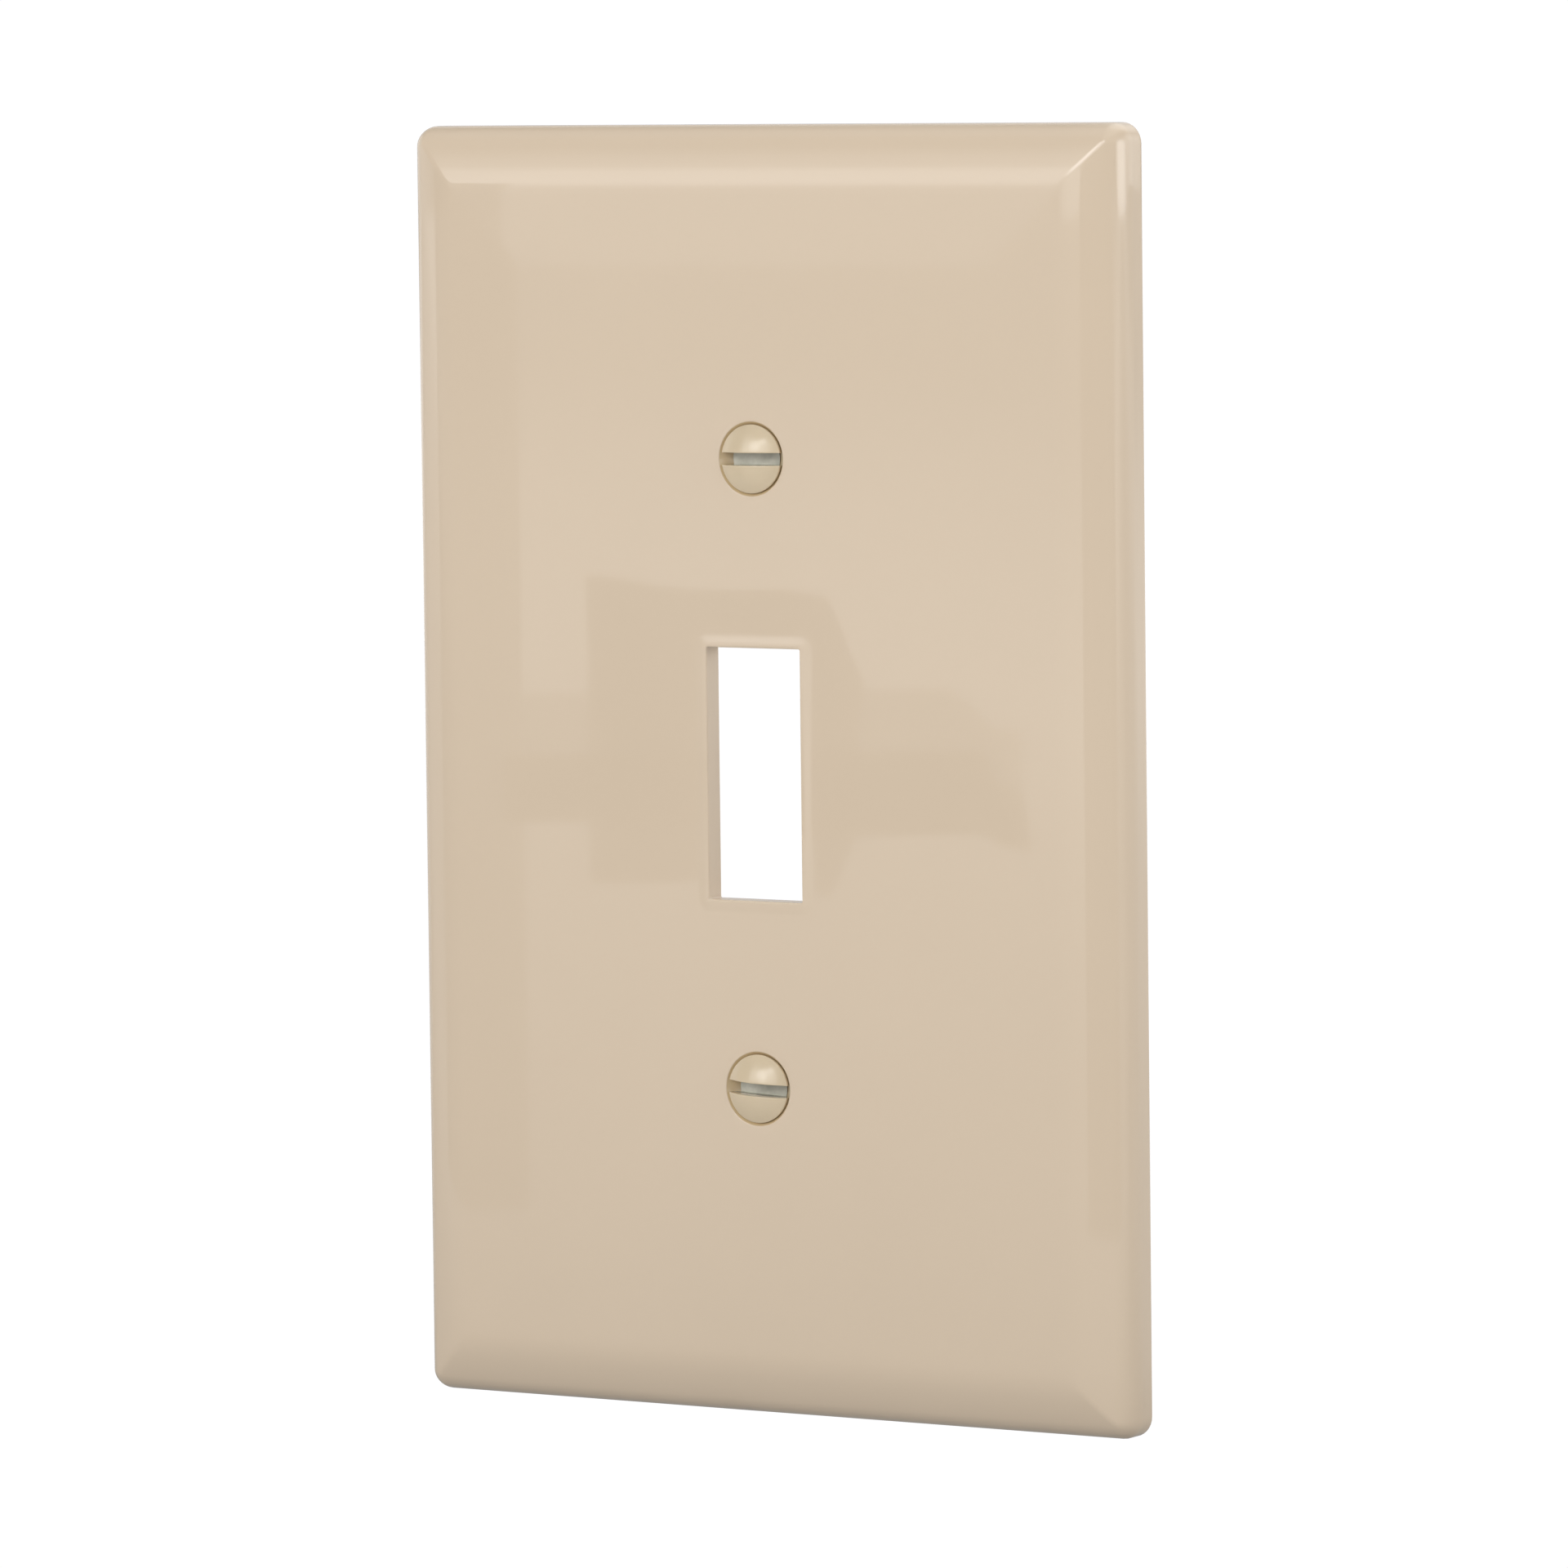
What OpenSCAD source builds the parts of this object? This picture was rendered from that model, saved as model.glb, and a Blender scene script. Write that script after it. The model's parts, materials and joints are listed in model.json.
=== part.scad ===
// Mid-size wall plate for one toggle switch, with its two oval-head screws.
// The plate's back lies in the plane Y = 0 and its face looks along -Y.
// X runs across the plate, +Z is up, and the origin is the middle of the plate's back.

/* [Plate] */
// Width of the plate
plate_w = 79.4; // [70:0.1:90]
// Height of the plate
plate_h = 123.8; // [114:0.1:135]
// Depth of the plate, from the wall to its flat centre
plate_d = 5.8; // [5.4:0.1:7]
// Thickness of the face
face_t = 2.2; // [1.6:0.1:2.6]
// Thickness of the side walls
rim_t = 1.8; // [1.4:0.1:2.2]
// Radius of the plate's corners, seen from the front
corner_r = 2; // [1:0.1:3]

/* [Edge profile] */
// Distance from the edge to the line where the bevel starts
crease_in = 5.4; // [4.5:0.1:7]
// Slope of the bevel
bevel_angle = 20; // [10:1:24]
// Radius that blends the face into the bevel
crease_r = 6; // [3:0.5:8]
// Radius that rounds the bevel into the side wall
edge_r = 2.9; // [2:0.1:3.2]
// Distance from the edge to the flat centre of the face
field_in = 13.5; // [10:0.5:16]
// How far the face falls between its flat centre and the bevel
field_drop = 0.1; // [0.05:0.05:0.3]

/* [Toggle opening] */
// Width of the opening
opening_w = 10.4; // [9.6:0.1:11]
// Height of the opening
opening_h = 24.2; // [23:0.1:25]
// Width of the raised lip around the opening
lip_w = 1.2; // [0.8:0.1:2]
// Height of the raised lip
lip_h = 0.1; // [0.05:0.05:0.3]

/* [Screw seats] */
// Distance between the two screws
screw_span = 60.3; // [60.2:0.1:60.4]
// Diameter of the countersink at the face
seat_d = 7.2; // [6.8:0.1:7.6]
// Diameter of the clearance hole under the countersink
clear_d = 3.9; // [3.7:0.1:4.2]
// Diameter of the boss behind each seat
boss_d = 9.4; // [8:0.1:11]
// Distance that a boss stops short of the wall
boss_gap = 0.6; // [0.3:0.1:1]
// Length of the narrow guide at the boss's end
guide_l = 0.8; // [0.6:0.1:1.2]
// Gap all round between the guide and the screw's neck
guide_gap = 0.05; // [0.03:0.01:0.08]

/* [Back of the plate] */
// Thickness of a rib
rib_t = 1.1; // [0.8:0.1:1.5]
// Height of a rib over the inside of the face
rib_h = 1.5; // [0.8:0.1:2.5]
// Distance of the two long ribs from the middle
long_rib_x = 9; // [7.5:0.5:12]
// Distance of the inner cross ribs from the middle
inner_rib_z = 18; // [15:0.5:22]
// Distance of the outer cross ribs from the middle
outer_rib_z = 44; // [40:0.5:48]

/* [Screws] */
// Outer diameter of the thread
thread_d = 3.5; // [3.3:0.1:3.6]
// Diameter of the plain neck between the head and the thread
neck_d = 3; // [2.8:0.1:3.1]
// Length from the top of the head's cone to the tip
screw_l = 12.7; // [9.5:0.1:19]
// Diameter of the head
head_d = 6.6; // [6.2:0.1:6.8]
// Full angle of the cone under the head
head_angle = 82; // [80:1:90]
// Height of the straight band round the head, between the cone and the oval top
band_h = 0.3; // [0.1:0.1:0.4]
// Height of the head's oval top over the band
dome_h = 1.1; // [0.8:0.1:1.4]
// Width of the slot
slot_w = 1.2; // [0.9:0.1:1.4]
// Depth of the slot, from the top of the head
slot_depth = 2.2; // [1.6:0.1:2.4]
// Clockwise turn of the upper screw's slot from level
upper_turn = 0; // [-90:1:90]
// Clockwise turn of the lower screw's slot from level
lower_turn = 3; // [-90:1:90]

/* [Hidden] */
$fn = 96;
// Overrun that lets a cut pass cleanly through a face
over = 1;
// The seat and the head don't quite touch: the gap along the screw's axis
seat_gap = 0.05;
// Length of the chamfer at a screw's tip, and the tip's diameter
tip_l = 0.8;
tip_d = 2.4;
// End play: the distance between a boss's end and the start of the thread
end_play = 0.1;
// Flats that make up the round of the edge, and those of the crease's blend
edge_steps = 8;
blend_steps = 4;

field_angle = atan(field_drop / (field_in - crease_in));
// Half the distance that the crease's blend takes along the face and along the bevel
blend_l = crease_r * tan((bevel_angle - field_angle) / 2);
// Inner line where the hollow's roof starts to slope, so that the wall stays as thick as the face
hollow_in = crease_in + face_t * tan(bevel_angle / 2);
roof_z = plate_d - face_t;

cone_slope = tan(head_angle / 2);
// Height over the wall at which the head's cone ends and its band starts
rim_z = plate_d - (seat_d - head_d) / 2 / cone_slope + seat_gap;
cone_l = (head_d - neck_d) / 2 / cone_slope;
band_z = rim_z + band_h;
seat_l = (seat_d - clear_d) / 2 / cone_slope;
dome_r = (pow(head_d / 2, 2) + pow(dome_h, 2)) / (2 * dome_h);
guide_d = neck_d + 2 * guide_gap;
// Height over the wall at which the thread starts, and the length over which it rises from the neck
thread_z = boss_gap - end_play;
thread_rise = (thread_d - neck_d) / 2;

// Every shape is drawn lying on its back, with its height over the wall along +Z,
// and this stands it up with its face towards -Y.
module stand() {
    rotate([90, 0, 0]) children();
}

module at_screw(side) {
    translate([0, side * screw_span / 2, 0]) children();
}

module rounded_rectangle(w, h, r) {
    square([w - 2 * r, h], center = true);
    square([w, h - 2 * r], center = true);
    for (x = [-1, 1], y = [-1, 1])
        translate([x * (w / 2 - r), y * (h / 2 - r)]) circle(r = r);
}

// Points along an arc, from one angle to another.
function arc(centre, r, from, to, steps) = [
    for (i = [0:steps]) centre + r * [cos(from + (to - from) * i / steps), sin(from + (to - from) * i / steps)]
];

function mirrored(points) = [for (i = [len(points) - 1:-1:0]) [-points[i][0], points[i][1]]];

// Section through the solid plate, span wide: distance across it, and height over the wall.
module outer_section(span) {
    half = span / 2;
    crease = [half - crease_in, plate_d - field_drop];
    blend_start = crease + blend_l * [-cos(field_angle), sin(field_angle)];
    blend_centre = blend_start - crease_r * [sin(field_angle), cos(field_angle)];
    edge_x = half - edge_r * (1 - sin(bevel_angle));
    edge_start = [edge_x, crease[1] - (edge_x - crease[0]) * tan(bevel_angle)];
    edge_centre = edge_start - edge_r * [sin(bevel_angle), cos(bevel_angle)];
    outline = concat(
        [[half, 0]],
        arc(edge_centre, edge_r, 0, 90 - bevel_angle, edge_steps),
        arc(blend_centre, crease_r, 90 - bevel_angle, 90 - field_angle, blend_steps),
        [[half - field_in, plate_d]]
    );
    polygon(concat(outline, mirrored(outline)));
}

// Section through the hollow behind the face.
module hollow_section(span) {
    half = span / 2;
    slope_run = hollow_in - rim_t;
    polygon([
        [-half + rim_t, -over],
        [half - rim_t, -over],
        [half - rim_t, roof_z - slope_run * tan(bevel_angle)],
        [half - hollow_in, roof_z],
        [-half + hollow_in, roof_z],
        [-half + rim_t, roof_z - slope_run * tan(bevel_angle)]
    ]);
}

// A section drawn across the plate and one drawn up it meet in mitres at the corners.
module mitred_block() {
    intersection() {
        rotate([90, 0, 0]) linear_extrude(height = plate_h, center = true) children(0);
        rotate([90, 0, 90]) linear_extrude(height = plate_w, center = true) children(1);
    }
}

module plate_blank() {
    intersection() {
        mitred_block() {
            outer_section(plate_w);
            outer_section(plate_h);
        }
        linear_extrude(height = plate_d) rounded_rectangle(plate_w, plate_h, corner_r);
    }
}

module plate_hollow() {
    // The hollow's corners are half as round as the plate's
    inner_r = corner_r / 2;
    intersection() {
        mitred_block() {
            hollow_section(plate_w);
            hollow_section(plate_h);
        }
        translate([0, 0, -over]) linear_extrude(height = plate_d + over)
            rounded_rectangle(plate_w - 2 * rim_t, plate_h - 2 * rim_t, inner_r);
    }
}

// Two long ribs, and four cross ribs that run from side wall to side wall.
module ribs() {
    low = roof_z - rib_h;
    for (x = [-1, 1])
        translate([x * long_rib_x - rib_t / 2, -outer_rib_z, low]) cube([rib_t, 2 * outer_rib_z, plate_d]);
    for (y = [-outer_rib_z, -inner_rib_z, inner_rib_z, outer_rib_z])
        translate([-plate_w / 2, y - rib_t / 2, low]) cube([plate_w, rib_t, plate_d]);
}

module boss() {
    translate([0, 0, boss_gap]) cylinder(d = boss_d, h = plate_d);
}

// The countersink, the clearance hole and the narrow guide that keeps the screw with the plate.
module screw_hole() {
    guide_top = boss_gap + guide_l;
    translate([0, 0, -over]) cylinder(d = guide_d, h = plate_d + over);
    translate([0, 0, guide_top]) cylinder(d = clear_d, h = plate_d - guide_top);
    translate([0, 0, plate_d - seat_l])
        cylinder(d1 = clear_d, d2 = seat_d + 2 * over * cone_slope, h = seat_l + over);
}

module opening() {
    translate([-opening_w / 2, -opening_h / 2, -over]) cube([opening_w, opening_h, plate_d + 2 * over]);
}

module lip() {
    w = opening_w + 2 * lip_w;
    h = opening_h + 2 * lip_w;
    translate([-w / 2, -h / 2, roof_z + face_t / 2]) cube([w, h, face_t / 2 + lip_h]);
}

module wall_plate() {
    color([0.84, 0.76, 0.66]) stand() difference() {
        union() {
            plate_blank();
            lip();
        }
        // The hollow leaves the ribs and the bosses standing
        difference() {
            plate_hollow();
            ribs();
            at_screw(1) boss();
            at_screw(-1) boss();
        }
        opening();
        at_screw(1) screw_hole();
        at_screw(-1) screw_hole();
    }
}

// Half of a screw's section: distance from its axis, and height over the wall.
module screw_section() {
    r = head_d / 2;
    tip_z = rim_z - screw_l;
    dome_centre = band_z + dome_h - dome_r;
    polygon([
        [0, tip_z],
        [tip_d / 2, tip_z],
        [thread_d / 2, tip_z + tip_l],
        [thread_d / 2, thread_z - thread_rise],
        [neck_d / 2, thread_z],
        [neck_d / 2, rim_z - cone_l],
        [r, rim_z],
        [r, band_z],
        [0, band_z + dome_h]
    ]);
    intersection() {
        translate([0, dome_centre]) circle(r = dome_r);
        polygon([[0, band_z + dome_h], [r, band_z], [r, band_z + dome_h + over], [0, band_z + dome_h + over]]);
    }
}

// A screw, with its slot along the plate's width.
module screw() {
    difference() {
        rotate_extrude() screw_section();
        translate([-head_d, -slot_w / 2, band_z + dome_h - slot_depth])
            cube([2 * head_d, slot_w, slot_depth + over]);
    }
}

module upper_screw() {
    color([0.84, 0.75, 0.60]) stand() at_screw(1) rotate(-upper_turn) screw();
}

module lower_screw() {
    color([0.84, 0.75, 0.60]) stand() at_screw(-1) rotate(-lower_turn) screw();
}

wall_plate();
upper_screw();
lower_screw();
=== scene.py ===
"""The looks of a mid-size ivory wall plate for a toggle switch, with its two painted oval-head screws.

Lengths are in millimetres while a mesh is built, and mesh_object() turns them into metres.
Shapes are first made lying on their back: x across the plate, y up it, and h the height over the wall.
"""

import json
import math

import bmesh
import bpy
from mathutils import Matrix, Vector


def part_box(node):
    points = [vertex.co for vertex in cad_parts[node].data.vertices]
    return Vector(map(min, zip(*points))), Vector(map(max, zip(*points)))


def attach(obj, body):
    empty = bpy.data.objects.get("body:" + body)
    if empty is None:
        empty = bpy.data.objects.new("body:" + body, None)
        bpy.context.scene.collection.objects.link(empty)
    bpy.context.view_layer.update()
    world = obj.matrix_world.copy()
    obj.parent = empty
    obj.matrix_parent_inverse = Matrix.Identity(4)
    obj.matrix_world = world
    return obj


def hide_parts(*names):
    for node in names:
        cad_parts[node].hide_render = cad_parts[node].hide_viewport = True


MM = 0.001
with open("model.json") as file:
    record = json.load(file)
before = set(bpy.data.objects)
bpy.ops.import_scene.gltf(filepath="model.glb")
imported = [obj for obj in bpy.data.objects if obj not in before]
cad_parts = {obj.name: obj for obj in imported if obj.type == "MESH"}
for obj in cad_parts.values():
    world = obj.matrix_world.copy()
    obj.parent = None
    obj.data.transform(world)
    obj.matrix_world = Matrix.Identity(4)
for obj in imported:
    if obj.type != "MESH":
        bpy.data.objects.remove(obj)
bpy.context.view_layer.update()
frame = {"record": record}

# ---- Sizes, as the CAD model has them ----
plate_low, plate_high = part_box("wall_plate")
screw_low, screw_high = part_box("upper_screw")
joint_place = {j["child"]: j["pos_m"] for j in frame["record"]["behaviour"]["joints"]}

LIP_H = 0.1
HALF_W = plate_high.x / MM
HALF_H = plate_high.z / MM
PLATE_D = -plate_low.y / MM - LIP_H
FACE_T = 2.2
ROOF_H = PLATE_D - FACE_T
RIM_T = 1.8
CORNER_R = 2.0

CREASE_IN = 5.4
BEVEL = math.radians(20)
EDGE_R = 2.9
FIELD_IN = 13.5
FIELD_DROP = 0.1

OPENING_W = 10.4
OPENING_H = 24.2
LIP_W = 1.2

SCREW_UP = joint_place["upper_fastener"][2] / MM
SEAT_D = 7.2
CLEAR_D = 3.9
BOSS_D = 9.4
BOSS_GAP = 0.6
GUIDE_L = 0.8
GUIDE_D = 3.1

RIB_T = 1.1
RIB_H = 1.5
LONG_RIB_X = 9.0
CROSS_RIBS = (-44.0, -18.0, 18.0, 44.0)

HEAD_R = 3.3
CONE_SLOPE = math.tan(math.radians(41))
SLOT_W = 1.2
DOME_H = 1.1
DOME_R = (HEAD_R**2 + DOME_H**2) / (2 * DOME_H)
# The slot takes the very top of the dome away, so the box ends at the slot's edges
DOME_TOP = -screw_low.y / MM + DOME_R - math.sqrt(DOME_R**2 - (SLOT_W / 2) ** 2)
# A straight band stands between the head's cone and its oval top
BAND_L = 0.3
BAND_TOP = DOME_TOP - DOME_H
RIM_H = BAND_TOP - BAND_L
TIP_H = -screw_high.y / MM
TIP_L = 0.8
TIP_R = 1.2
THREAD_R = 1.75
ROOT_R = 1.32
PITCH = 0.794
NECK_R = 1.5
NECK_END = 0.5
SLOT_FLOOR = DOME_TOP - 2.2
SLOT_TURNS = {"upper_fastener": 0.0, "lower_fastener": 3.0}


# ---- Camera ----
CAMERA_YAW = math.radians(31.44)
CAMERA_PITCH = math.radians(4.50)
CAMERA_ROLL = math.radians(0.66)
CAMERA_LENS = 220.0
# Where the middle of the plate's face lies, seen from the camera
FACE_RIGHT = -2.83
FACE_DOWN = -0.88
FACE_AHEAD = 914.5


def make_camera():
    """A long lens that looks at the face from its right and a little above."""
    yaw, pitch, roll = CAMERA_YAW, CAMERA_PITCH, CAMERA_ROLL
    ahead = Vector((-math.sin(yaw) * math.cos(pitch), math.cos(yaw) * math.cos(pitch), -math.sin(pitch)))
    level = Vector((math.cos(yaw), math.sin(yaw), 0))
    below = ahead.cross(level)
    right = math.cos(roll) * level + math.sin(roll) * below
    down = -math.sin(roll) * level + math.cos(roll) * below
    face_middle = Vector((0, -PLATE_D * MM, 0))
    place = face_middle - (FACE_RIGHT * right + FACE_DOWN * down + FACE_AHEAD * ahead) * MM
    data = bpy.data.cameras.new("camera")
    data.sensor_width = 36
    data.lens = CAMERA_LENS
    data.clip_start = 0.05
    data.clip_end = 50
    camera = bpy.data.objects.new("camera", data)
    axes = Matrix((right, -down, -ahead)).transposed()
    camera.matrix_world = Matrix.Translation(place) @ axes.to_4x4()
    bpy.context.scene.collection.objects.link(camera)
    bpy.context.scene.camera = camera


# ---- Mesh helpers ----
class Shape:
    """Points and faces that grow together, with the value of the attribute "bare" at each point."""

    def __init__(self):
        self.points = []
        self.faces = []
        self.bare = []

    def add(self, points, bare=0.0):
        first = len(self.points)
        self.points.extend(points)
        self.bare.extend([bare] * len(points))
        return list(range(first, len(self.points)))

    def bridge(self, ring_a, ring_b, closed=True):
        n = len(ring_a)
        for i in range(n if closed else n - 1):
            j = (i + 1) % n
            self.faces.append((ring_a[i], ring_a[j], ring_b[j], ring_b[i]))

    def bridge_all(self, rows, closed=True):
        for a, b in zip(rows, rows[1:]):
            self.bridge(a, b, closed)

    def rings(self, loops, closed=True, bare=0.0):
        rows = [self.add(loop, bare) for loop in loops]
        self.bridge_all(rows, closed)
        return rows


def stand(p):
    """From lying on its back, in millimetres, to standing with the face towards -Y, in metres."""
    x, y, h = p
    return (x * MM, -h * MM, y * MM)


def smooth_step(t):
    t = max(0.0, min(1.0, t))
    return t * t * (3 - 2 * t)


def quarter(radius, steps):
    """The points of a quarter circle, as (its sine, one less its cosine) times the radius."""
    for i in range(steps + 1):
        a = math.radians(90 * i / steps)
        yield radius * math.sin(a), radius * (1 - math.cos(a))


def rounded_loop(half_w, half_h, r, h, corner_steps, side_marks, ease):
    """A rounded rectangle, anticlockwise from the right side's upper end.

    Its sides get extra points at side_marks, as shares of their half length, and at ease from their ends.
    """
    points = []
    corners = ((1, 1, 0), (-1, 1, 90), (-1, -1, 180), (1, -1, 270))
    for sx, sy, start in corners:
        cx, cy = sx * (half_w - r), sy * (half_h - r)
        for i in range(corner_steps + 1):
            a = math.radians(start + 90 * i / corner_steps)
            points.append((cx + r * math.cos(a), cy + r * math.sin(a), h))
        along_x = start in (0, 180)
        half = (half_w if along_x else half_h) - r
        marks = sorted({-half + ease, half - ease} | {m * half for m in side_marks})
        marks = [m for m in marks if abs(m) < half]
        for m in sorted(marks, reverse=start < 180):
            if along_x:
                points.append((m, sy * half_h, h))
            else:
                points.append((sx * half_w, m, h))
    return points


def circle_loop(y_middle, r, h, steps, first_angle=0.0):
    angles = [first_angle + 2 * math.pi * i / steps for i in range(steps)]
    return [(r * math.cos(a), y_middle + r * math.sin(a), h) for a in angles]


def fill(bm, loops):
    """Fills the flat region between closed loops of vertices."""
    edges = []
    for loop in loops:
        for a, b in zip(loop, loop[1:] + loop[:1]):
            edge = bm.edges.get((a, b)) or bm.edges.new((a, b))
            edges.append(edge)
    bmesh.ops.triangle_fill(bm, use_beauty=True, use_dissolve=False, edges=edges)


MERGE_GAP = 1e-4
SHARP_ANGLE = math.radians(50)


def mesh_object(name, shape, fills, material):
    """Builds an object from a shape. fills are lists of loops of point numbers, filled flat."""
    bm = bmesh.new()
    bare = bm.verts.layers.float.new("bare")
    verts = []
    for p, b in zip(shape.points, shape.bare):
        v = bm.verts.new(stand(p))
        v[bare] = b
        verts.append(v)
    for indices in shape.faces:
        bm.faces.new([verts[i] for i in indices])
    for loops in fills:
        fill(bm, [[verts[i] for i in loop] for loop in loops])
    bmesh.ops.remove_doubles(bm, verts=bm.verts, dist=MERGE_GAP * MM)
    bmesh.ops.dissolve_degenerate(bm, edges=bm.edges, dist=MERGE_GAP * MM)
    loose = [v for v in bm.verts if not v.link_faces]
    bmesh.ops.delete(bm, geom=loose, context="VERTS")
    bmesh.ops.recalc_face_normals(bm, faces=bm.faces)
    for f in bm.faces:
        f.smooth = True
    for e in bm.edges:
        if len(e.link_faces) == 2 and e.calc_face_angle(0) > SHARP_ANGLE:
            e.smooth = False
    mesh = bpy.data.meshes.new(name)
    bm.to_mesh(mesh)
    bm.free()
    mesh.materials.append(material)
    piece = bpy.data.objects.new(name, mesh)
    bpy.context.scene.collection.objects.link(piece)
    return piece


# ---- The plate's skin ----
# The bevel is slightly rounded: its slope grows from the field's border to the rounded edge
BEND_IN = 6.3
BEND_MIDDLE = 3.7
MIDDLE_SLOPE = math.radians(20)
OUTER_SLOPE = math.radians(27)
FIELD_SLOPE = math.atan(FIELD_DROP / (FIELD_IN - CREASE_IN))
EDGE_STEPS = 20
BEND_STEPS = 28
MITRE_R = 0.45


def field_height(d):
    """Height of the face's border at a distance d from the edge."""
    return PLATE_D - FIELD_DROP + (d - CREASE_IN) * math.tan(FIELD_SLOPE)


def bevel_slope(d, edge_in):
    """Slope of the bevel at a distance d from the edge, where the rounded edge ends at edge_in."""
    if d > BEND_MIDDLE:
        return FIELD_SLOPE + (MIDDLE_SLOPE - FIELD_SLOPE) * (BEND_IN - d) / (BEND_IN - BEND_MIDDLE)
    return MIDDLE_SLOPE + (OUTER_SLOPE - MIDDLE_SLOPE) * (BEND_MIDDLE - d) / (BEND_MIDDLE - edge_in)


def edge_profile():
    """(distance in from the edge, height), from the back's outer edge to the flat centre of the face."""
    arc_in = EDGE_R * (1 - math.sin(BEVEL))
    arc_h = PLATE_D - FIELD_DROP - (CREASE_IN - arc_in) * math.tan(BEVEL)
    centre = (EDGE_R, arc_h - EDGE_R * math.cos(BEVEL))
    # The back's outer edge is eased, and the side wall stands on it
    points = [(0.12, 0.0), (0.035, 0.035), (0.0, 0.12), (0.0, 0.4), (0.0, centre[1] - 0.15)]
    turn = math.pi / 2 - OUTER_SLOPE
    for i in range(EDGE_STEPS + 1):
        a = turn * i / EDGE_STEPS
        points.append((centre[0] - EDGE_R * math.cos(a), centre[1] + EDGE_R * math.sin(a)))
    edge_in, edge_h = points[-1]
    # The bevel's drop is added up in steps and scaled to meet the rounded edge
    step = (BEND_IN - edge_in) / BEND_STEPS
    drops = [0.0]
    for i in range(BEND_STEPS):
        drops.append(drops[-1] + step * math.tan(bevel_slope(BEND_IN - (i + 0.5) * step, edge_in)))
    bend_h = field_height(BEND_IN)
    share = (bend_h - edge_h) / drops[-1]
    points += [(BEND_IN - i * step, bend_h - drops[i] * share) for i in reversed(range(BEND_STEPS))]
    points += [(d, field_height(d)) for d in (BEND_IN + 0.3, FIELD_IN - 1.0)]
    # The field's border is eased over 1 mm, then a narrow flat band meets the flat centre
    points.append((FIELD_IN - 0.5, PLATE_D - 0.0053))
    points.append((FIELD_IN, PLATE_D - 0.0012))
    points.append((FIELD_IN + 0.6, PLATE_D))
    points.append((FIELD_IN + 1.0, PLATE_D))
    return points


SIDE_MARKS = (-0.8, -0.6, -0.4, -0.2, 0.0, 0.2, 0.4, 0.6, 0.8)


def outer_skin(shape):
    """The side walls, the bevels with their mitres, and the border of the face."""
    loops = []
    for inset, h in edge_profile():
        r = max(CORNER_R - inset, MITRE_R)
        loops.append(rounded_loop(HALF_W - inset, HALF_H - inset, r, h, 8, SIDE_MARKS, 4.0))
    rows = shape.rings(loops)
    return rows[0], rows[-1]


OPENING_MARKS = (-0.5, 0.0, 0.5)
LIP_STEPS = 8
LIP_EDGE_R = 0.16
LIP_EDGE_STEPS = 6
BACK_EDGE_R = 0.1
BACK_EDGE_STEPS = 4


def opening_skin(shape):
    """The raised lip, the opening's wall and its back edge, from the face to the hollow's roof."""
    # (distance out from the opening's edge, height, corner radius)
    profile = [(LIP_W + 0.35, PLATE_D, 1.5), (LIP_W + 0.1, PLATE_D, 1.3)]
    for i in range(LIP_STEPS + 1):
        t = i / LIP_STEPS
        rise = 0.95 * smooth_step(t) + 0.05 * t
        profile.append((LIP_W + 0.1 - t * (LIP_W - 0.12), PLATE_D + LIP_H * rise, 1.3 - 1.0 * t))
    for i, (over, down) in enumerate(quarter(LIP_EDGE_R, LIP_EDGE_STEPS)):
        profile.append((LIP_EDGE_R - over, PLATE_D + LIP_H - down, 0.25 - 0.1 * i / LIP_EDGE_STEPS))
    profile.append((0.0, PLATE_D - 0.3, 0.15))
    profile.append((0.0, ROOF_H + 0.3, 0.15))
    for i, (down, over) in enumerate(quarter(BACK_EDGE_R, BACK_EDGE_STEPS)):
        profile.append((over, ROOF_H + BACK_EDGE_R - down, 0.15 + 0.1 * i / BACK_EDGE_STEPS))
    profile.append((0.35, ROOF_H, 0.35))
    loops = []
    for d, h, r in profile:
        loops.append(rounded_loop(OPENING_W / 2 + d, OPENING_H / 2 + d, r, h, 6, OPENING_MARKS, 1.0))
    rows = shape.rings(loops)
    return rows[0], rows[-1]


SEAT_STEPS = 96
BOSS_FILLET = 0.4
BOSS_FILLET_STEPS = 6


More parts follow.
